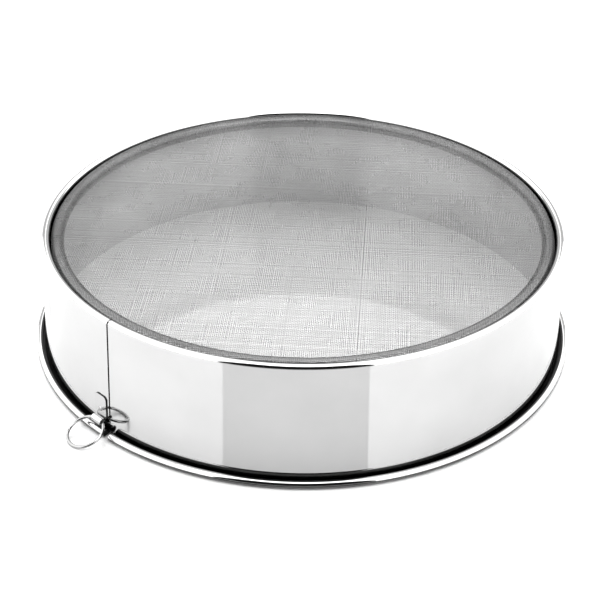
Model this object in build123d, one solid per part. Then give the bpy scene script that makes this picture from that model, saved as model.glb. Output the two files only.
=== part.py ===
from build123d import *
import math
import os

# Drum sieve, standing with its mesh on top and its open mouth on the table.
# Frame: origin on the drum's axis in the plane that it rests on, +Z up through the mesh,
# -Y towards the hanging ring. Millimetres.

# driving dimensions
rim_radius = 130.3  # outside of the outer hoop at its curled top edge
hoop_height = 61.6  # table to the crest of the curled top edge
wall_foot_radius = 133.13  # outside of the outer hoop's wall just above the foot bead
wall_foot_level = 5.0  # height at which wall_foot_radius is measured
sheet = 0.5  # thickness of the sheet in both hoops
curl_radius = 1.9  # outside of the outer hoop's curled top edge
bead_radius = 137.9  # outside of the foot bead
bead_width = 3.7
bead_height = 3.7
roll_radius = 3.0  # outside of the inner hoop's rolled edge, which the mesh is stretched over
roll_circle = 122.5  # distance of that roll's centre line from the axis
mesh_sink = 0.55  # the mesh lies this far under the crest of the outer hoop
mesh_thickness = 0.5
mouth_radius = 132.0  # bore of the straight land at the inner hoop's mouth
mouth_land = 6.0  # height of that land
mesh_skirt_level = 42.0  # cut edge of the mesh, hidden between the hoops
fit_gap = 0.05  # between pieces that bear on each other

tab_width = 8.2
tab_top_level = 19.8
knuckle_width = 6.7
knuckle_radius = 1.95
knuckle_level = 6.6
ring_diameter = 19.0
ring_wire = 1.5
ring_sag = 0.33  # the ring's arc is centred in the straight knuckle by this offset
ring_table_gap = 0.15
rivet_level = 12.2
rivet_radius = 0.7
rivet_head_radius = 1.25
rivet_head_height = 0.55

seam_angle = 2.6  # degrees from the tab to the outer hoop's butt seam, towards +X
seam_gap = 1.0  # between the strip's ends
bead_gap_angle = 2.9  # middle of the gap between the foot bead's ends, which lie apart
bead_gap = 1.8

os.makedirs("parts", exist_ok=True)


def tangent_tilt(foot, centre, radius):
    """Lean, in radians, of the line from foot that touches a circle on its outer side."""
    across = foot[0] - centre[0]
    down = centre[1] - foot[1]
    reach = math.hypot(across, down)
    return math.acos(radius / reach) - math.atan2(down, across)


def curled_strip(foot, centre, radius, sweep):
    """Section of a sheet that rises from foot and curls inwards round centre."""
    lean = tangent_tilt(foot, centre, radius)
    outward = Vector(math.cos(lean), math.sin(lean))
    start = math.degrees(lean)
    outer_foot = Vector(*foot)
    inner_foot = outer_foot - outward * sheet
    centre_point = Vector(*centre)
    outer_arc = CenterArc(centre_point, radius, start, sweep)
    inner_arc = CenterArc(centre_point, radius - sheet, start, sweep)
    edges = [
        Line(outer_foot, outer_arc @ 0),
        outer_arc,
        Line(outer_arc @ 1, inner_arc @ 1),
        inner_arc,
        Line(inner_arc @ 0, inner_foot),
        Line(inner_foot, outer_foot),
    ]
    return make_face(edges)


def spin(section):
    """Solid of revolution of a section drawn as (distance from axis, height)."""
    return revolve(Plane.XZ * section, Axis.Z)


def box_section(low_radius, high_radius, low, high):
    middle = ((low_radius + high_radius) / 2, (low + high) / 2)
    return Pos(*middle) * Rectangle(high_radius - low_radius, high - low)


# ---- outer hoop: tapered wall, curled top edge, foot bead, butt seam ----
curl_centre = (rim_radius - curl_radius, hoop_height - curl_radius)
wall_foot = (wall_foot_radius, wall_foot_level)
wall_lean = tangent_tilt(wall_foot, curl_centre, curl_radius)


def wall_radius(level):
    """Outside radius of the outer hoop's wall at a height."""
    return wall_foot_radius - (level - wall_foot_level) * math.tan(wall_lean)


crease_level = 1.8  # centre of the bend between wall and foot
crease_radius = 1.0  # that bend's radius on the open side
crease_circle = wall_radius(crease_level) + crease_radius
web_top = crease_level - crease_radius
web_bottom = web_top - sheet
bead_circle = bead_radius - bead_width / 2
bead_mouth = 2.3  # the bead is a hook, open towards the wall over this height above the web
curl_sweep = 250.0


def outer_hoop_section():
    crease_foot = (wall_radius(crease_level), crease_level)
    wall = curled_strip(crease_foot, curl_centre, curl_radius, curl_sweep)
    bend = Pos(crease_circle, crease_level) * (
        Circle(crease_radius + sheet) - Circle(crease_radius)
    )
    quarter = crease_radius + sheet
    corner = box_section(
        crease_circle - quarter - sheet, crease_circle, crease_level - quarter, crease_level
    )
    web = box_section(crease_circle, bead_circle - bead_width / 4, web_bottom, web_top)
    bead_place = Pos(bead_circle, bead_height / 2)
    bead = bead_place * Ellipse(bead_width / 2, bead_height / 2)
    hollow = bead_place * Ellipse(bead_width / 2 - sheet, bead_height / 2 - sheet)
    mouth_side = bead_circle - bead_width / 2 - sheet
    mouth = box_section(mouth_side, bead_circle, web_top, web_top + bead_mouth)
    web_outside = web - bead
    return wall + (bend & corner) + web_outside + (bead - hollow - mouth)


def seam_cut():
    """Narrow gap between the strip's ends, through the wall and the curled edge."""
    inner_side = curl_centre[0] - 2 * curl_radius
    cutter = Box(bead_circle - inner_side, seam_gap, 2 * hoop_height)
    cutter = Pos((bead_circle + inner_side) / 2, 0, hoop_height) * cutter
    return Rot(0, 0, seam_angle - 90) * cutter


def bead_cut():
    """Gap between the foot bead's ends, above the web; its end towards +X is rounded."""
    tall = 2 * bead_height
    gap = Box(2 * bead_width, bead_gap + bead_width / 2, tall)
    gap = Pos(0, bead_width / 4, 0) * gap
    rounded_end = Pos(0, bead_gap / 2 + bead_width / 2, 0) * Cylinder(bead_width / 2, tall)
    cutter = Pos(bead_circle + bead_width / 2, 0, web_top + tall / 2) * (gap - rounded_end)
    return Rot(0, 0, bead_gap_angle - 90) * cutter


# ---- tab frame: on the wall's outside at the knuckle, first axis along the wall's outward normal ----
outward = Vector(0, -math.cos(wall_lean), math.sin(wall_lean))
tab_origin = Vector(0, -wall_radius(knuckle_level), knuckle_level)
side_plane = Plane(origin=tab_origin, x_dir=outward, z_dir=(-1, 0, 0))
front_plane = Plane(origin=tab_origin, x_dir=(1, 0, 0), z_dir=outward)
knuckle_offset = knuckle_radius + fit_gap
tab_length = (tab_top_level - knuckle_level) / math.cos(wall_lean)
rivet_height = (rivet_level - knuckle_level) / math.cos(wall_lean)


def rivet_bore():
    bore = Cylinder(rivet_radius + fit_gap, 4 * sheet)
    return front_plane * Pos(0, rivet_height, 0) * bore


def make_outer_hoop():
    return spin(outer_hoop_section()) - seam_cut() - bead_cut() - rivet_bore()


# ---- inner hoop: cone with a straight land at the mouth and a rolled top edge ----
mesh_top = hoop_height - mesh_sink
roll_centre = (roll_circle, mesh_top - mesh_thickness - fit_gap - roll_radius)
roll_sweep = 300.0


def make_inner_hoop():
    land_outside = mouth_radius + sheet
    wall = curled_strip((land_outside, mouth_land), roll_centre, roll_radius, roll_sweep)
    land = box_section(mouth_radius, land_outside, 0, mouth_land)
    lean = tangent_tilt((land_outside, mouth_land), roll_centre, roll_radius)
    heel = Pos(land_outside, mouth_land) * Circle(sheet)
    heel_wedge = make_face(
        Polyline(
            (land_outside, mouth_land),
            (mouth_radius, mouth_land),
            (land_outside - sheet * math.cos(lean), mouth_land - sheet * math.sin(lean)),
            close=True,
        )
    )
    return spin(wall + land + (heel & heel_wedge))


# ---- mesh: disc stretched over the roll, with its skirt between the hoops ----
def make_mesh():
    inside = roll_radius + fit_gap
    outside = inside + mesh_thickness
    lean = tangent_tilt((mouth_radius + sheet, mouth_land), roll_centre, roll_radius)
    start = math.degrees(lean)
    centre = Vector(*roll_centre)
    outer_arc = CenterArc(centre, outside, start, 90 - start)
    inner_arc = CenterArc(centre, inside, start, 90 - start)
    drop = (roll_centre[1] - mesh_skirt_level) / math.cos(lean)
    down = Vector(math.sin(lean), -math.cos(lean)) * drop
    axis_top = Vector(0, roll_centre[1] + outside)
    axis_bottom = Vector(0, roll_centre[1] + inside)
    edges = [
        Line(axis_top, outer_arc @ 1),
        outer_arc,
        Line(outer_arc @ 0, outer_arc @ 0 + down),
        Line(outer_arc @ 0 + down, inner_arc @ 0 + down),
        Line(inner_arc @ 0 + down, inner_arc @ 0),
        inner_arc,
        Line(inner_arc @ 1, axis_bottom),
        Line(axis_bottom, axis_top),
    ]
    return spin(make_face(edges))


# ---- stiffening wire inside the outer hoop's curled edge ----
def make_rim_wire():
    return spin(Pos(*curl_centre) * Circle(curl_radius - sheet - fit_gap))


# ---- tab: plate on the wall, rolled into a knuckle at its foot ----
def make_tab():
    inner = knuckle_radius - sheet
    opening_start = 130.0
    sleeve = Circle(knuckle_radius) - Circle(inner)
    reach = 2 * knuckle_radius
    mouth_wedge = make_face(
        Polyline(
            (0, 0),
            (reach * math.cos(math.radians(opening_start)), reach * math.sin(math.radians(opening_start))),
            (-reach, reach),
            (-reach, 0),
            close=True,
        )
    )
    sleeve = sleeve - mouth_wedge
    knuckle = extrude(side_plane * Pos(knuckle_offset, 0) * sleeve, knuckle_width / 2, both=True)
    neck = 3.0  # height over which the plate widens from the knuckle
    outline = make_face(
        Polyline(
            (-knuckle_width / 2, 0),
            (knuckle_width / 2, 0),
            (tab_width / 2, neck),
            (tab_width / 2, tab_length),
            (-tab_width / 2, tab_length),
            (-tab_width / 2, neck),
            close=True,
        )
    )
    outline = fillet(outline.vertices().group_by(Axis.Y)[-1], tab_width / 4)
    plate = extrude(front_plane * outline, sheet)
    plate = Pos(outward * fit_gap) * plate
    return plate + knuckle - rivet_bore()


# ---- rivet through the tab and the outer hoop's wall ----
def make_rivet():
    plate_face = fit_gap + sheet
    wall_back = -sheet - fit_gap
    back_head = 0.3
    place = front_plane * Pos(0, rivet_height, 0)
    shank_length = plate_face - wall_back + back_head
    shank = Pos(0, 0, wall_back - back_head + shank_length / 2) * Cylinder(rivet_radius, shank_length)
    dome_radius = (rivet_head_radius**2 + rivet_head_height**2) / (2 * rivet_head_height)
    dome = Pos(0, 0, plate_face + rivet_head_height - dome_radius) * Sphere(dome_radius)
    above = Pos(0, 0, plate_face + rivet_head_height) * Box(
        4 * rivet_head_radius, 4 * rivet_head_radius, 2 * rivet_head_height
    )
    tail = Pos(0, 0, wall_back - back_head / 2) * Cylinder(rivet_head_radius * 0.8, back_head)
    return place * (shank + (dome & above) + tail)


# ---- hanging ring, drooping from the knuckle to just above the table ----
hinge_point = tab_origin + outward * knuckle_offset
ring_circle = (ring_diameter - ring_wire) / 2
ring_reach = 2 * ring_circle - ring_sag
ring_drop = hinge_point.Z - ring_wire / 2 - ring_table_gap
ring_droop = math.degrees(math.asin(ring_drop / ring_reach))


def make_ring():
    ring = Torus(ring_circle, ring_wire / 2)
    ring = Pos(0, -(ring_circle - ring_sag), 0) * ring
    return Pos(hinge_point) * Rot(ring_droop, 0, 0) * ring


nodes = {
    "outer_hoop": make_outer_hoop,
    "inner_hoop": make_inner_hoop,
    "mesh_screen": make_mesh,
    "rim_wire": make_rim_wire,
    "ring_tab": make_tab,
    "tab_rivet": make_rivet,
    "hanging_ring": make_ring,
}

for name, maker in nodes.items():
    export_step(maker(), f"parts/{name}.step")

print("ring hinge", tuple(round(v, 3) for v in hinge_point), "droop", round(ring_droop, 2))
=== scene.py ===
import math

import bpy
import numpy as np
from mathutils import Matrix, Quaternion, Vector


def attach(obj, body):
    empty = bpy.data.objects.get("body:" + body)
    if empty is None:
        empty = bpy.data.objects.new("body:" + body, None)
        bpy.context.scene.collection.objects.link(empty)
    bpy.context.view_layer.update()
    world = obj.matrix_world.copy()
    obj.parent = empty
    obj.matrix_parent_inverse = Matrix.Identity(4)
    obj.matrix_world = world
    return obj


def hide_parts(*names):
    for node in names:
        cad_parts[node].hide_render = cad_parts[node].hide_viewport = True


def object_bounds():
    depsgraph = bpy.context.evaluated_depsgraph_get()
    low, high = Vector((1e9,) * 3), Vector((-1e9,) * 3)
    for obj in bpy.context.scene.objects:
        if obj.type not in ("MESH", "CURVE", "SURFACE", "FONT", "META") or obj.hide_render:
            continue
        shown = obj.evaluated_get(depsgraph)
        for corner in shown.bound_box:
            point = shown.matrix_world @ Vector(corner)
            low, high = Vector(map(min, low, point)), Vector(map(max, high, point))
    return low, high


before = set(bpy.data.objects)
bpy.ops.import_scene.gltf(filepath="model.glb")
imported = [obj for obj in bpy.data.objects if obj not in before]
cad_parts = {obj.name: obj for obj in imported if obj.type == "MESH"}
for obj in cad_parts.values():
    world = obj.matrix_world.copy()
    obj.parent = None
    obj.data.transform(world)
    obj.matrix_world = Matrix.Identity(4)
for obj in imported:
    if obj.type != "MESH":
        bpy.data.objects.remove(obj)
cad_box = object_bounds()

MM = 0.001

# ---- the camera and its studio ----
CAMERA_AZIMUTH = math.radians(44.5)
CAMERA_ELEVATION = math.radians(32.4)
CAMERA_DISTANCE = 0.6856
CAMERA_LENS = 82.25
CAMERA_ROLL = math.radians(0.56)
TARGET_NEAR = 0.0268  # how far the aim point lies from the drum's axis, towards the camera
TARGET_SIDE = -0.0012
TARGET_HEIGHT = 0.0296
CLIP_NEAR = 0.01
CLIP_FAR = 50
FLOOR_HALF = 12.0
WORLD_GLOW = 0.35
CARD_DISTANCE = 1.8
PATCH_LEFT = -31.6  # edges of the dark card that the near wall mirrors, in degrees from the camera
PATCH_RIGHT = 27.0
BACK_EDGE = 138.0  # where the side softboxes end and the cards behind the drum begin, on either side
BACK_SPLIT = 30.0  # elevation at which the weak card behind the drum gives way to a softbox
SIDE_TOP = 66.0  # elevation that the cards round the drum reach

# ---- the drum, in millimetres, as the CAD has it ----
RIM_RADIUS = 130.3
HOOP_HEIGHT = 61.6
WALL_FOOT_RADIUS = 133.13
WALL_FOOT_LEVEL = 5.0
SHEET = 0.5
CURL_RADIUS = 1.9
CURL_SWEEP = 250.0
BEAD_RADIUS = 137.9
BEAD_WIDTH = 3.7
BEAD_HEIGHT = 3.7
BEAD_MOUTH = 2.3
CREASE_LEVEL = 1.8
CREASE_RADIUS = 1.0
ROLL_RADIUS = 3.0
ROLL_CIRCLE = 122.5
ROLL_SWEEP = 300.0
MESH_SINK = 0.55
MESH_THICKNESS = 0.5
FIT_GAP = 0.05
MOUTH_RADIUS = 132.0
MOUTH_LAND = 6.0
KNUCKLE_LEVEL = 6.6
KNUCKLE_RADIUS = 1.95
KNUCKLE_WIDTH = 6.7
TAB_WIDTH = 8.2
TAB_TOP_LEVEL = 19.8
RIVET_LEVEL = 12.2
RIVET_HEAD_RADIUS = 1.25
RIVET_HEAD_HEIGHT = 0.55
RING_DIAMETER = 19.0
RING_WIRE = 1.5
RING_SAG = 0.33
RING_TABLE_GAP = 0.15
TAB_DIRECTION = -90.0
SEAM_ANGLE = 2.6  # degrees from the tab to the seam, and below to the gap in the bead
SEAM_GAP = 1.0
BEAD_GAP_ANGLE = 2.9
BEAD_GAP = 1.8
EDGE = 0.12  # bevel on a cut edge of the sheet
HOOP_STEP = 0.625  # degrees between the columns of points round a hoop

# ---- the wire cloth ----
WIRE_PITCH = 0.85
WIRE_RADIUS = 0.09
WEAVE_TURN = math.radians(130.64)  # direction that one family of wires runs in
CLOTH_RADIUS = 133.5  # flat radius that the woven wires reach, past the roll and into the crevice

# ---- derived ----
CURL_CENTRE = (RIM_RADIUS - CURL_RADIUS, HOOP_HEIGHT - CURL_RADIUS)
ROLL_CENTRE = (ROLL_CIRCLE, HOOP_HEIGHT - MESH_SINK - MESH_THICKNESS - FIT_GAP - ROLL_RADIUS)


def tangent_tilt(foot, centre, radius):
    """Lean of the line from foot that touches a circle on its outer side."""
    across = foot[0] - centre[0]
    down = centre[1] - foot[1]
    return math.acos(radius / math.hypot(across, down)) - math.atan2(down, across)


WALL_LEAN = tangent_tilt((WALL_FOOT_RADIUS, WALL_FOOT_LEVEL), CURL_CENTRE, CURL_RADIUS)
CONE_LEAN = tangent_tilt((MOUTH_RADIUS + SHEET, MOUTH_LAND), ROLL_CENTRE, ROLL_RADIUS)


def wall_radius(level):
    return WALL_FOOT_RADIUS - (level - WALL_FOOT_LEVEL) * math.tan(WALL_LEAN)


# ---- node materials ----
def material(name):
    made = bpy.data.materials.new(name)
    made.use_nodes = True
    tree = made.node_tree
    return made, tree, tree.nodes["Principled BSDF"]


def node(tree, kind, **values):
    made = tree.nodes.new(kind)
    for key, value in values.items():
        if key in made.inputs:
            made.inputs[key].default_value = value
        else:
            setattr(made, key, value)
    return made


def ramp(tree, source, low, high, low_at=0.3, high_at=0.7):
    """A colour ramp from low to high, each a grey value or a colour."""
    made = tree.nodes.new("ShaderNodeValToRGB")
    for element, value, place in zip(made.color_ramp.elements, (low, high), (low_at, high_at)):
        element.position = place
        element.color = (*value, 1.0) if isinstance(value, tuple) else (value, value, value, 1.0)
    tree.links.new(source, made.inputs["Fac"])
    return made.outputs["Color"]


def object_noise(tree, scale, detail=3.0, stretch=(1.0, 1.0, 1.0)):
    coordinates = tree.nodes.new("ShaderNodeTexCoord")
    mapping = tree.nodes.new("ShaderNodeMapping")
    mapping.inputs["Scale"].default_value = stretch
    tree.links.new(coordinates.outputs["Object"], mapping.inputs["Vector"])
    noise = node(tree, "ShaderNodeTexNoise", Scale=scale, Detail=detail)
    tree.links.new(mapping.outputs["Vector"], noise.inputs["Vector"])
    return noise.outputs["Fac"]


def steel(name, dark, light, smooth, rough, streak_scale, streak_stretch, streak_height, wave_height=0.0):
    """Stainless steel: cloudy tone, smudged gloss, fine polishing lines and faint waves in the sheet."""
    made, tree, shader = material(name)
    shader.inputs["Metallic"].default_value = 1.0
    clouds = object_noise(tree, 28.0, 4.0)
    tree.links.new(ramp(tree, clouds, dark, light), shader.inputs["Base Color"])
    smudges = object_noise(tree, 75.0, 6.0)
    tree.links.new(ramp(tree, smudges, smooth, rough), shader.inputs["Roughness"])
    streaks = object_noise(tree, streak_scale, 2.0, streak_stretch)
    lines = tree.nodes.new("ShaderNodeBump")
    lines.inputs["Strength"].default_value = 1.0
    lines.inputs["Distance"].default_value = streak_height
    tree.links.new(streaks, lines.inputs["Height"])
    last = lines
    if wave_height:
        waves = object_noise(tree, 14.0, 1.0)
        swell = tree.nodes.new("ShaderNodeBump")
        swell.inputs["Strength"].default_value = 1.0
        swell.inputs["Distance"].default_value = wave_height
        tree.links.new(waves, swell.inputs["Height"])
        tree.links.new(lines.outputs["Normal"], swell.inputs["Normal"])
        last = swell
    tree.links.new(last.outputs["Normal"], shader.inputs["Normal"])
    return made


def shade_by_radius(made, inside, outside, low, high):
    """Paint shade into a steel: multiply its tone by a ramp over the distance from the drum's axis, in
    millimetres.
    """
    tree = made.node_tree
    shader = tree.nodes["Principled BSDF"]
    tone = shader.inputs["Base Color"].links[0].from_socket
    coordinates = tree.nodes.new("ShaderNodeTexCoord")
    flat = node(tree, "ShaderNodeVectorMath", operation="MULTIPLY")
    flat.inputs[1].default_value = (1.0, 1.0, 0.0)
    tree.links.new(coordinates.outputs["Object"], flat.inputs[0])
    length = node(tree, "ShaderNodeVectorMath", operation="LENGTH")
    tree.links.new(flat.outputs["Vector"], length.inputs[0])
    span = tree.nodes.new("ShaderNodeMapRange")
    span.inputs["From Min"].default_value = inside * MM
    span.inputs["From Max"].default_value = outside * MM
    span.inputs["To Min"].default_value = low
    span.inputs["To Max"].default_value = high
    tree.links.new(length.outputs["Value"], span.inputs["Value"])
    product = node(tree, "ShaderNodeVectorMath", operation="SCALE")
    tree.links.new(tone, product.inputs[0])
    tree.links.new(span.outputs["Result"], product.inputs["Scale"])
    tree.links.new(product.outputs["Vector"], shader.inputs["Base Color"])


# ---- mesh helpers: points in millimetres, objects in metres ----
def piece(name, points, faces, finish, body, sharp=35.0):
    mesh = bpy.data.meshes.new(name)
    mesh.from_pydata((np.asarray(points, float) * MM).tolist(), [], faces)
    mesh.validate()
    mesh.update()
    made = bpy.data.objects.new(name, mesh)
    bpy.context.scene.collection.objects.link(made)
    mesh.shade_smooth()
    mesh.set_sharp_from_angle(angle=math.radians(sharp))
    mesh.materials.append(finish)
    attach(made, body)
    return made


def arc(centre, radius, start, sweep, steps):
    """Points on an arc in the (distance from axis, height) plane, degrees from outwards, anticlockwise."""
    angles = np.radians(start + sweep * np.linspace(0, 1, steps + 1))
    return [(centre[0] + radius * math.cos(a), centre[1] + radius * math.sin(a)) for a in angles]


def grid_faces(rows, columns, close_rows, close_columns):
    """Quads of a grid of points, stored column by column."""
    faces = []
    for c in range(columns if close_columns else columns - 1):
        for r in range(rows if close_rows else rows - 1):
            a = c * rows + r
            b = c * rows + (r + 1) % rows
            d = ((c + 1) % columns) * rows + r
            e = ((c + 1) % columns) * rows + (r + 1) % rows
            faces.append((a, d, e, b))
    return faces


def spin(profile, angles):
    """Points of a closed profile turned to each angle in degrees."""
    points = []
    for angle in angles:
        c, s = math.cos(math.radians(angle)), math.sin(math.radians(angle))
        points += [(r * c, r * s, z) for r, z in profile]
    return points


# ---- outer hoop ----
BEAD_CIRCLE = BEAD_RADIUS - BEAD_WIDTH / 2
WEB_TOP = CREASE_LEVEL - CREASE_RADIUS
POLISHED, PAINTED_SHADE, PAINTED_CONTACT_SHADE = range(3)  # order of the shell's materials: polished steel, near-black painted shade, grey painted contact shade
UNDERSIDE = 25  # points of the bead's outline, from the web, that carry grey painted contact shade
DARK_BAND = 3  # the last of those points, which carry the near-black painted shade instead: a painted dark line round the bead
SHADE_TIP = 8  # points before the bead's lip that already carry the near-black painted shade of the groove
BEAD_END_LEAST = 0.06  # share of its size that the bead shrinks to at its rounded end
BEAD_END_ROOT = 0.9  # how far inside the bead's circle the point lies that it shrinks towards


def oval_run(shrink, start_level, end_level, steps):
    """The bead's outline from a level low on its inner side, under, out and over to that side again."""
    wide, tall = BEAD_WIDTH / 2 - shrink, BEAD_HEIGHT / 2 - shrink
    start = math.pi - math.asin((start_level - BEAD_HEIGHT / 2) / tall)
    end = 3 * math.pi - math.asin((end_level - BEAD_HEIGHT / 2) / tall)
    turns = np.linspace(start, end, steps)
    return [(BEAD_CIRCLE + wide * math.cos(t), BEAD_HEIGHT / 2 + tall * math.sin(t)) for t in turns]


def outer_hoop_profile():
    """Closed section of the strip; which points are the bead's; each point's material, polished steel or
    painted shade.
    """
    lean = math.degrees(WALL_LEAN)
    levels = np.concatenate([[CREASE_LEVEL, 3.2], np.linspace(WALL_FOOT_LEVEL, CURL_CENTRE[1] - 0.1, 12)])
    wall = [(wall_radius(z), z) for z in levels]
    curl_out = arc(CURL_CENTRE, CURL_RADIUS, lean, CURL_SWEEP, 32)
    curl_in = arc(CURL_CENTRE, CURL_RADIUS - SHEET, lean + CURL_SWEEP, -CURL_SWEEP, 20)
    crease = (wall_radius(CREASE_LEVEL) + CREASE_RADIUS, CREASE_LEVEL)
    bend_in = arc(crease, CREASE_RADIUS + SHEET, 180, 90, 8)
    bend_out = arc(crease, CREASE_RADIUS, 270, -90, 8)
    outside = oval_run(0.0, WEB_TOP - SHEET, WEB_TOP + BEAD_MOUTH, 48)
    inside = oval_run(SHEET, WEB_TOP, WEB_TOP + BEAD_MOUTH, 26)[::-1]
    section = wall + curl_out + curl_in + bend_in
    bead_start = len(section)
    section += outside
    bead_inside_start = len(section)
    section += inside
    bead_end = len(section)
    section += bend_out[:-1]
    point_materials = [POLISHED] * len(section)
    # near-black painted shade in the groove: near the bead's lip, on its inner side and on the crease
    for index in range(bead_inside_start - SHADE_TIP, len(section)):
        point_materials[index] = PAINTED_SHADE
    # grey painted contact shade under the bead, where it meets the floor
    for index in range(bead_start, bead_start + UNDERSIDE):
        point_materials[index] = PAINTED_CONTACT_SHADE
    # a near-black band of painted shade round the bead's outer side
    for index in range(bead_start + UNDERSIDE - DARK_BAND, bead_start + UNDERSIDE):
        point_materials[index] = PAINTED_SHADE
    return section, range(bead_start, bead_end), point_materials


def hoop_angles():
    """Angles round the strip from end to end, close together at both ends and at the bead's rounded end."""
    seam = TAB_DIRECTION + SEAM_ANGLE
    half = math.degrees(SEAM_GAP / 2 / WALL_FOOT_RADIUS)
    bead_half = math.degrees(BEAD_GAP / 2 / BEAD_CIRCLE)
    millimetre = math.degrees(1 / BEAD_CIRCLE)
    rounded = TAB_DIRECTION + BEAD_GAP_ANGLE + bead_half + np.linspace(0, BEAD_WIDTH / 2, 12) * millimetre
    ends = [seam + half + EDGE * millimetre, rounded[0] - 0.02 * millimetre]
    even = np.arange(seam + half, seam + 360 - half, HOOP_STEP)
    last = [seam + 360 - half - EDGE * millimetre, seam + 360 - half]
    return np.unique(np.round(np.concatenate([even, ends, rounded, last]), 5))


def make_outer_hoop(finish, shade_paint, grey):
    """Strip swept round the drum from seam to seam, its bead rounded off where it starts."""
    section, bead, point_materials = outer_hoop_profile()
    angles = hoop_angles()
    bead_start = TAB_DIRECTION + BEAD_GAP_ANGLE + math.degrees(BEAD_GAP / 2 / BEAD_CIRCLE)
    root = np.array([BEAD_CIRCLE - BEAD_END_ROOT, WEB_TOP - SHEET / 2])
    columns = []
    for angle in angles:
        along = math.radians(angle - bead_start) * BEAD_CIRCLE
        share = min(max(along / (BEAD_WIDTH / 2), 0.0), 1.0)
        size = max(math.sqrt(1 - (1 - share) ** 2), BEAD_END_LEAST)
        turned = np.array(section)
        turned[bead] = root + (turned[bead] - root) * size
        c, s = math.cos(math.radians(angle)), math.sin(math.radians(angle))
        columns.append(np.column_stack([turned[:, 0] * c, turned[:, 0] * s, turned[:, 1]]))
    points = np.concatenate(columns)
    rows = len(section)
    faces = grid_faces(rows, len(angles), True, False)
    faces.append(tuple(range(rows)))
    faces.append(tuple((len(angles) - 1) * rows + r for r in reversed(range(rows))))
    made = piece("outer_hoop_shell", points, faces, finish, "sieve")
    made.data.materials.append(shade_paint)
    made.data.materials.append(grey)
    # faces take polished steel, or the painted shade of the groove and of the bead's underside
    for face in made.data.polygons:
        if face.index < rows * (len(angles) - 1):
            face.material_index = point_materials[face.index % rows]
    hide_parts("outer_hoop")
    return made


# ---- inner hoop ----
def make_inner_hoop(finish):
    lean = math.degrees(CONE_LEAN)
    land_outside = MOUTH_RADIUS + SHEET
    roll_out = arc(ROLL_CENTRE, ROLL_RADIUS, lean, ROLL_SWEEP, 36)
    roll_in = arc(ROLL_CENTRE, ROLL_RADIUS - SHEET, lean + ROLL_SWEEP, -ROLL_SWEEP, 30)
    mouth = [(MOUTH_RADIUS, EDGE), (MOUTH_RADIUS + EDGE, 0), (land_outside - EDGE, 0), (land_outside, EDGE)]
    section = roll_out + roll_in + [(MOUTH_RADIUS, MOUTH_LAND)] + mouth + [(land_outside, MOUTH_LAND)]
    angles = np.arange(0, 360, HOOP_STEP)
    points = spin(section, angles)
    faces = grid_faces(len(section), len(angles), True, True)
    made = piece("inner_hoop_shell", points, faces, finish, "sieve")
    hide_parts("inner_hoop")
    return made


# ---- woven wire cloth ----
CLOTH_ROUND = ROLL_RADIUS + FIT_GAP + MESH_THICKNESS / 2  # bend radius of the cloth's middle over the roll
CLOTH_WRAP = math.pi / 2 - CONE_LEAN
CLOTH_STRIPS = 4  # pieces that each family of wires is made in
DRIFT_WAVES = ((0.10, 9.0), (0.07, 4.1), (0.05, 2.3))  # size and length of slow swings in the spacing
DRIFT = 1.1
SCATTER = 0.10
# Wires out of line: the wire's number from the middle, and its shift as a share of the pitch.
CROWDED = ((-61, 0.30), (38, -0.32), (39, -0.18), (72, 0.26), (-18, -0.22), (101, 0.28))


def wire_places(seed):
    """Places of one family's wires across the cloth, with the small unevenness of a real loom."""
    random = np.random.default_rng(seed)
    count = int(CLOTH_RADIUS / WIRE_PITCH)
    index = np.arange(-count, count + 1)
    places = index * WIRE_PITCH
    drift = sum(
        size * np.sin(places / length + random.uniform(0, 2 * math.pi))
        for size, length in DRIFT_WAVES
    )
    places = places + drift * DRIFT + random.normal(0, SCATTER, len(places))
    for which, shift in CROWDED:
        places[which + count] += shift * WIRE_PITCH
    return places


def cloth(flat, lift):
    """Point and outward normal on the cloth for flat points and a height above its middle."""
    rho = np.hypot(flat[:, 0], flat[:, 1])
    radial = flat / np.maximum(rho, 1e-6)[:, None]
    over = np.maximum(rho - ROLL_CIRCLE, 0)
    turn = np.minimum(over / CLOTH_ROUND, CLOTH_WRAP)
    beyond = np.maximum(over - CLOTH_ROUND * CLOTH_WRAP, 0)
    out = np.minimum(rho, ROLL_CIRCLE) + (CLOTH_ROUND + lift) * np.sin(turn) + beyond * math.cos(CLOTH_WRAP)
    level = ROLL_CENTRE[1] + (CLOTH_ROUND + lift) * np.cos(turn) - beyond * math.sin(CLOTH_WRAP)
    points = np.column_stack([radial * out[:, None], level])
    normals = np.column_stack([radial * np.sin(turn)[:, None], np.cos(turn)])
    return points, normals


def wire_tube(centre, normal):
    """Points of one square-sided wire along its middle line, four to a station."""
    tangent = np.gradient(centre, axis=0)
    tangent /= np.linalg.norm(tangent, axis=1)[:, None]
    side = np.cross(tangent, normal)
    side /= np.linalg.norm(side, axis=1)[:, None]
    up = np.cross(side, tangent)
    return np.stack([centre + WIRE_RADIUS * v for v in (up, side, -up, -side)], axis=1).reshape(-1, 3)


def tube_quads(start, stations):
    """Quads of one wire whose points begin at start: its sides, then its two ends."""
    base = start + 4 * np.arange(stations - 1)[:, None]
    k = np.arange(4)
    sides = np.stack([base + k, base + (k + 1) % 4, base + 4 + (k + 1) % 4, base + 4 + k], axis=2)
    end = start + 4 * (stations - 1)
    first = [[start + 3, start + 2, start + 1, start]]
    last = [[end, end + 1, end + 2, end + 3]]
    return np.concatenate([sides.reshape(-1, 4), first, last])


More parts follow.
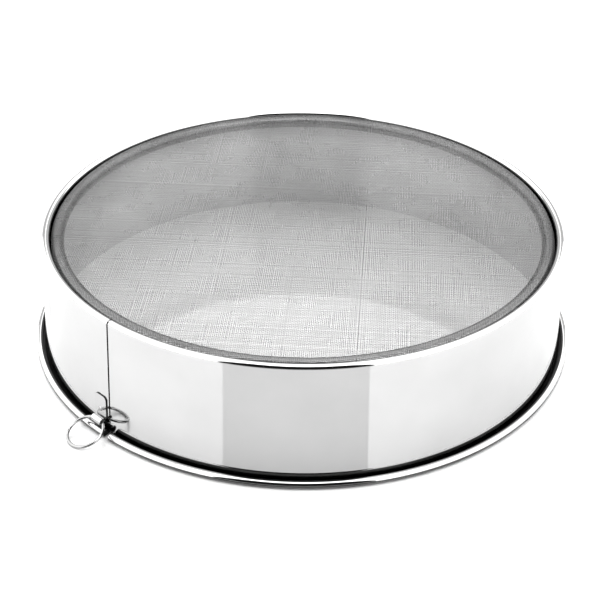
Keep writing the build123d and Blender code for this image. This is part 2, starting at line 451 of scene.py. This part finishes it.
def make_cloth(finish):
    """Two families of wires, each going over and under the other where they cross."""
    warp, weft = wire_places(11), wire_places(29)
    along = np.array([math.cos(WEAVE_TURN), math.sin(WEAVE_TURN)])
    across = np.array([along[1], -along[0]])
    made = []
    for family, (own, other, own_axis, other_axis) in enumerate(
        ((warp, weft, across, along), (weft, warp, along, across))
    ):
        share = np.array_split(np.arange(len(own)), CLOTH_STRIPS)
        for strip, members in enumerate(share):
            points, faces, start = [], [], 0
            for i in members:
                room = CLOTH_RADIUS**2 - own[i] ** 2
                if room <= 4:
                    continue
                reach = math.sqrt(room)
                j = np.nonzero(np.abs(other) < reach)[0]
                flat = own[i] * own_axis + other[j][:, None] * other_axis
                lift = WIRE_RADIUS * np.where((i + j + family) % 2 == 0, 1.0, -1.0)
                points.append(wire_tube(*cloth(flat, lift)))
                faces.append(tube_quads(start, len(j)))
                start += 4 * len(j)
            name = f"mesh_{('warp', 'weft')[family]}_{strip + 1}"
            made.append(quad_piece(name, np.concatenate(points), np.concatenate(faces), finish))
    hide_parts("mesh_screen")
    return made


def quad_piece(name, points, quads, finish):
    """A piece of quads only, filled straight from arrays because it has very many."""
    mesh = bpy.data.meshes.new(name)
    mesh.vertices.add(len(points))
    mesh.vertices.foreach_set("co", (points * MM).astype(np.float32).ravel())
    mesh.loops.add(quads.size)
    mesh.loops.foreach_set("vertex_index", quads.astype(np.int32).ravel())
    mesh.polygons.add(len(quads))
    mesh.polygons.foreach_set("loop_start", np.arange(0, quads.size, 4, dtype=np.int32))
    mesh.update(calc_edges=True)
    mesh.shade_smooth()
    mesh.materials.append(finish)
    made = bpy.data.objects.new(name, mesh)
    bpy.context.scene.collection.objects.link(made)
    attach(made, "sieve")
    return made


# ---- tab, rivet and ring, built at the knuckle: axes out of the wall, up it, and along +X ----
TAB_OUT = Vector((0, -math.cos(WALL_LEAN), math.sin(WALL_LEAN)))
TAB_UP = Vector((0, math.sin(WALL_LEAN), math.cos(WALL_LEAN)))
TAB_SIDE = Vector((1, 0, 0))
TAB_ORIGIN = Vector((0, -wall_radius(KNUCKLE_LEVEL), KNUCKLE_LEVEL))
HINGE_OFFSET = KNUCKLE_RADIUS + FIT_GAP
TAB_NECK = 3.0  # length over which the plate narrows to the knuckle's width
KNUCKLE_SWEEP = 300
RING_JOINT = math.radians(62)  # where the wire's two ends meet, from the outermost point towards -X
RING_JOINT_GAP = 0.16
RING_JOINT_TAPER = 0.12  # length over which the wire thins towards an end
RING_JOINT_THIN = 0.16  # share of its thickness that it loses there


def tab_point(out, up, side):
    return TAB_ORIGIN + TAB_OUT * out + TAB_UP * up + TAB_SIDE * side


def make_tab(finish, shade_paint):
    """Strip whose middle line runs down the plate and round the knuckle, swept across its width."""
    length = (TAB_TOP_LEVEL - KNUCKLE_LEVEL) / math.cos(WALL_LEAN)
    half = SHEET / 2
    plate_out = FIT_GAP + half
    corner = TAB_WIDTH / 4
    middle, widths = [], []
    plate = [np.linspace(0, corner, 9)[:-1], np.linspace(corner, length - TAB_NECK, 6)[:-1]]
    for t in np.concatenate(plate):
        up = length - t
        inset = 0.0 if t >= corner else corner - math.sqrt(max(corner**2 - (corner - t) ** 2, 0))
        middle.append((plate_out, up))
        widths.append(TAB_WIDTH / 2 - inset)
    for t in np.linspace(0, 1, 9):
        ease = t * t * (3 - 2 * t)
        middle.append((plate_out, TAB_NECK * (1 - t)))
        widths.append(TAB_WIDTH / 2 + (KNUCKLE_WIDTH - TAB_WIDTH) / 2 * ease)
    knuckle = KNUCKLE_RADIUS - half
    for a in np.radians(np.linspace(180, 180 + KNUCKLE_SWEEP, 34)[1:]):
        middle.append((HINGE_OFFSET + knuckle * math.cos(a), knuckle * math.sin(a)))
        widths.append(KNUCKLE_WIDTH / 2)
    line = np.array(middle)
    run = np.gradient(line, axis=0)
    run /= np.linalg.norm(run, axis=1)[:, None]
    normal = np.column_stack([-run[:, 1], run[:, 0]])
    across = [(-1, 0.6), (-1, 1.0), (1, 1.0), (1, 0.6), (1, -0.6), (1, -1.0), (-1, -1.0), (-1, -0.6)]
    inset = [0, EDGE, EDGE, 0, 0, EDGE, EDGE, 0]
    points = []
    for place, direction, width in zip(line, normal, widths):
        for (sign, level), shy in zip(across, inset):
            out, up = place + direction * half * level
            points.append(tab_point(out, up, sign * (width - shy)))
    rows = len(across)
    faces = grid_faces(rows, len(line), True, False)
    faces.append(tuple(range(rows)))
    faces.append(tuple((len(line) - 1) * rows + r for r in reversed(range(rows))))
    made = piece("ring_tab_rolled", points, faces, finish, "sieve")
    made.data.materials.append(shade_paint)
    # the plate's side edges and the strip's two ends take the near-black painted shade, a painted dark line
    # along the rim
    for face in made.data.polygons:
        if face.index >= rows * (len(line) - 1) or face.index % rows in (0, 2, 3, 4, 6, 7):
            face.material_index = 1
    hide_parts("ring_tab")
    return made


def make_rivet(finish):
    """Domed head with a flat back."""
    up = (RIVET_LEVEL - KNUCKLE_LEVEL) / math.cos(WALL_LEAN)
    face = FIT_GAP + SHEET
    steps, around = 10, 40
    dome = (RIVET_HEAD_RADIUS**2 + RIVET_HEAD_HEIGHT**2) / (2 * RIVET_HEAD_HEIGHT)
    reach = math.asin(RIVET_HEAD_RADIUS / dome)
    points, faces = [tab_point(face + RIVET_HEAD_HEIGHT, up, 0)], []
    for step in range(1, steps + 1):
        lean = reach * step / steps
        out = face + RIVET_HEAD_HEIGHT - dome * (1 - math.cos(lean))
        for k in range(around):
            a = 2 * math.pi * k / around
            points.append(
                tab_point(out, up + dome * math.sin(lean) * math.sin(a), dome * math.sin(lean) * math.cos(a))
            )
    for k in range(around):
        faces.append((0, 1 + k, 1 + (k + 1) % around))
    for step in range(steps - 1):
        for k in range(around):
            a = 1 + step * around + k
            b = 1 + step * around + (k + 1) % around
            faces.append((a, a + around, b + around, b))
    first = 1 + (steps - 1) * around
    faces.append(tuple(first + k for k in reversed(range(around))))
    made = piece("tab_rivet_head", points, faces, finish, "sieve")
    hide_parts("tab_rivet")
    return made


def make_ring(finish):
    """Open ring of round wire, hanging from the knuckle to just above the floor."""
    hinge = tab_point(HINGE_OFFSET, 0, 0)
    circle = (RING_DIAMETER - RING_WIRE) / 2
    reach = 2 * circle - RING_SAG
    droop = math.asin((hinge.z - RING_WIRE / 2 - RING_TABLE_GAP) / reach)
    outwards = Vector((0, -math.cos(droop), -math.sin(droop)))
    upwards = Vector((0, -math.sin(droop), math.cos(droop)))
    middle = hinge + outwards * (circle - RING_SAG)
    gap = RING_JOINT_GAP / circle / 2
    around, sides = 160, 20
    points = []
    for a in np.linspace(RING_JOINT + gap, RING_JOINT + 2 * math.pi - gap, around):
        spoke = outwards * math.cos(a) - TAB_SIDE * math.sin(a)
        end = min(a - RING_JOINT - gap, RING_JOINT + 2 * math.pi - gap - a) * circle
        thick = RING_WIRE / 2 * (1 - RING_JOINT_THIN * max(0.0, 1 - end / RING_JOINT_TAPER))
        for k in range(sides):
            b = 2 * math.pi * k / sides
            points.append(middle + spoke * (circle + thick * math.cos(b)) + upwards * thick * math.sin(b))
    faces = grid_faces(sides, around, True, False)
    faces.append(tuple(range(sides)))
    faces.append(tuple((around - 1) * sides + k for k in reversed(range(sides))))
    made = piece("hanging_ring_wire", points, faces, finish, "ring")
    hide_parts("hanging_ring")
    return made


# ---- studio ----
def towards_camera(angle=0.0):
    """Horizontal direction from the drum to the camera, turned by an angle towards the picture's right."""
    a = CAMERA_AZIMUTH + angle
    return Vector((math.sin(a), -math.cos(a), 0))


def make_camera():
    near = towards_camera()
    side = Vector((math.cos(CAMERA_AZIMUTH), math.sin(CAMERA_AZIMUTH), 0))
    aim = near * TARGET_NEAR + side * TARGET_SIDE + Vector((0, 0, TARGET_HEIGHT))
    back = near * math.cos(CAMERA_ELEVATION) + Vector((0, 0, math.sin(CAMERA_ELEVATION)))
    camera = bpy.data.objects.new("camera", bpy.data.cameras.new("camera"))
    camera.data.lens = CAMERA_LENS
    camera.location = aim + back * CAMERA_DISTANCE
    camera.rotation_mode = "QUATERNION"
    upright = (-back).to_track_quat("-Z", "Y")
    camera.rotation_quaternion = upright @ Quaternion((0, 0, 1), CAMERA_ROLL)
    camera.data.clip_start = CLIP_NEAR
    camera.data.clip_end = CLIP_FAR
    bpy.context.scene.collection.objects.link(camera)
    bpy.context.scene.camera = camera


def make_floor():
    """One pale, smooth floor at the height that the drum stands on."""
    made, tree, shader = material("floor")
    tone = object_noise(tree, 3.0)
    tree.links.new(ramp(tree, tone, 0.69, 0.71), shader.inputs["Base Color"])
    shader.inputs["Roughness"].default_value = 0.03
    shader.inputs["IOR"].default_value = 2.0
    mesh = bpy.data.meshes.new("floor")
    half = FLOOR_HALF
    corners = [(-half, -half, 0), (half, -half, 0), (half, half, 0), (-half, half, 0)]
    mesh.from_pydata(corners, [], [(0, 1, 2, 3)])
    floor = bpy.data.objects.new("floor", mesh)
    floor.location.z = cad_box[0].z
    mesh.materials.append(made)
    bpy.context.scene.collection.objects.link(floor)


def make_card(name, left, right, low, high, glow):
    """A curved card between two angles from the camera and two elevations; glow 0 is black."""
    made, tree, shader = material(name)
    shader.inputs["Base Color"].default_value = (0.01, 0.01, 0.01, 1)
    shader.inputs["Roughness"].default_value = 1.0
    shader.inputs["Specular IOR Level"].default_value = 0.0
    shader.inputs["Emission Color"].default_value = (1.0, 1.0, 1.0, 1)
    shader.inputs["Emission Strength"].default_value = glow
    around, up = 24, 8
    points = []
    for k in range(around + 1):
        outwards = towards_camera(math.radians(left + (right - left) * k / around))
        for j in range(up + 1):
            rise = math.radians(low + (high - low) * j / up)
            points.append((outwards * math.cos(rise) + Vector((0, 0, math.sin(rise)))) * CARD_DISTANCE)
    faces = []
    for k in range(around):
        for j in range(up):
            a = k * (up + 1) + j
            faces.append((a, a + up + 1, a + up + 2, a + 1))
    mesh = bpy.data.meshes.new(name)
    mesh.from_pydata(points, [], faces)
    mesh.materials.append(made)
    card = bpy.data.objects.new(name, mesh)
    card.visible_camera = False
    bpy.context.scene.collection.objects.link(card)


def make_lights():
    """White world, and cards that close round the drum: a dark one in front, softboxes for the rest."""
    world = bpy.data.worlds.new("studio")
    world.use_nodes = True
    background = world.node_tree.nodes["Background"]
    background.inputs["Color"].default_value = (1.0, 1.0, 1.0, 1)
    background.inputs["Strength"].default_value = WORLD_GLOW
    bpy.context.scene.world = world
    make_card("dark_card", PATCH_LEFT, PATCH_RIGHT, 0.5, SIDE_TOP, 0.0)
    make_card("left_softbox", -BACK_EDGE, PATCH_LEFT, 1.0, SIDE_TOP, 3.1)
    make_card("right_softbox", PATCH_RIGHT, BACK_EDGE, 1.0, SIDE_TOP, 3.1)
    make_card("back_low_card", BACK_EDGE, 360 - BACK_EDGE, 1.0, BACK_SPLIT, 1.0)
    make_card("back_softbox", BACK_EDGE, 360 - BACK_EDGE, BACK_SPLIT, SIDE_TOP, 3.0)
    make_card("top_softbox", 0.0, 360.0, SIDE_TOP + 0.5, 89.9, 4.6)


make_camera()
make_floor()
make_lights()
bpy.context.scene.view_settings.view_transform = "Standard"

# ---- steels, each with its tone, roughness, streaks and waves ----
polished = steel("polished_steel", 0.42, 0.46, 0.03, 0.06, 900.0, (1.0, 1.0, 14.0), 0.0000002, 0.00001)
satin = steel("satin_steel", 0.62, 0.70, 0.16, 0.28, 700.0, (1.0, 1.0, 10.0), 0.000002)
drawn = steel("drawn_wire", 0.18, 0.26, 0.22, 0.34, 1500.0, (1.0, 1.0, 1.0), 0.000004)
pressed = steel("pressed_steel", 0.40, 0.45, 0.06, 0.12, 800.0, (6.0, 1.0, 1.0), 0.000003)
bright = steel("bright_steel", 0.60, 0.68, 0.05, 0.10, 900.0, (1.0, 1.0, 6.0), 0.000002)
shade_by_radius(drawn, 123.2, 125.4, 1.0, 0.55)  # painted shade: the cloth's tone is darkened in the crevice outside the roll
shade_by_radius(satin, 124.0, 127.0, 0.24, 1.0)  # painted shade: the inner hoop's tone is darkened on its roll
# near-black painted shade, for the groove at the bead, the bead's inner side and the tab's edges
shade_paint = steel("painted_shade_steel", 0.02, 0.05, 0.40, 0.55, 600.0, (1.0, 1.0, 1.0), 0.000004)
# grey painted contact shade for the bead's underside, where it meets the floor
grey = steel("painted_contact_shade_steel", 0.09, 0.14, 0.20, 0.30, 600.0, (1.0, 1.0, 1.0), 0.000002)
wire = steel("ring_wire_steel", 0.24, 0.32, 0.05, 0.10, 900.0, (1.0, 1.0, 6.0), 0.000002)

# ---- the pieces; the rim wire keeps its CAD shape ----
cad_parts["rim_wire"].data.materials.clear()
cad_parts["rim_wire"].data.materials.append(bright)
make_outer_hoop(polished, shade_paint, grey)
make_inner_hoop(satin)
make_cloth(drawn)
make_tab(pressed, shade_paint)
make_rivet(wire)
make_ring(wire)
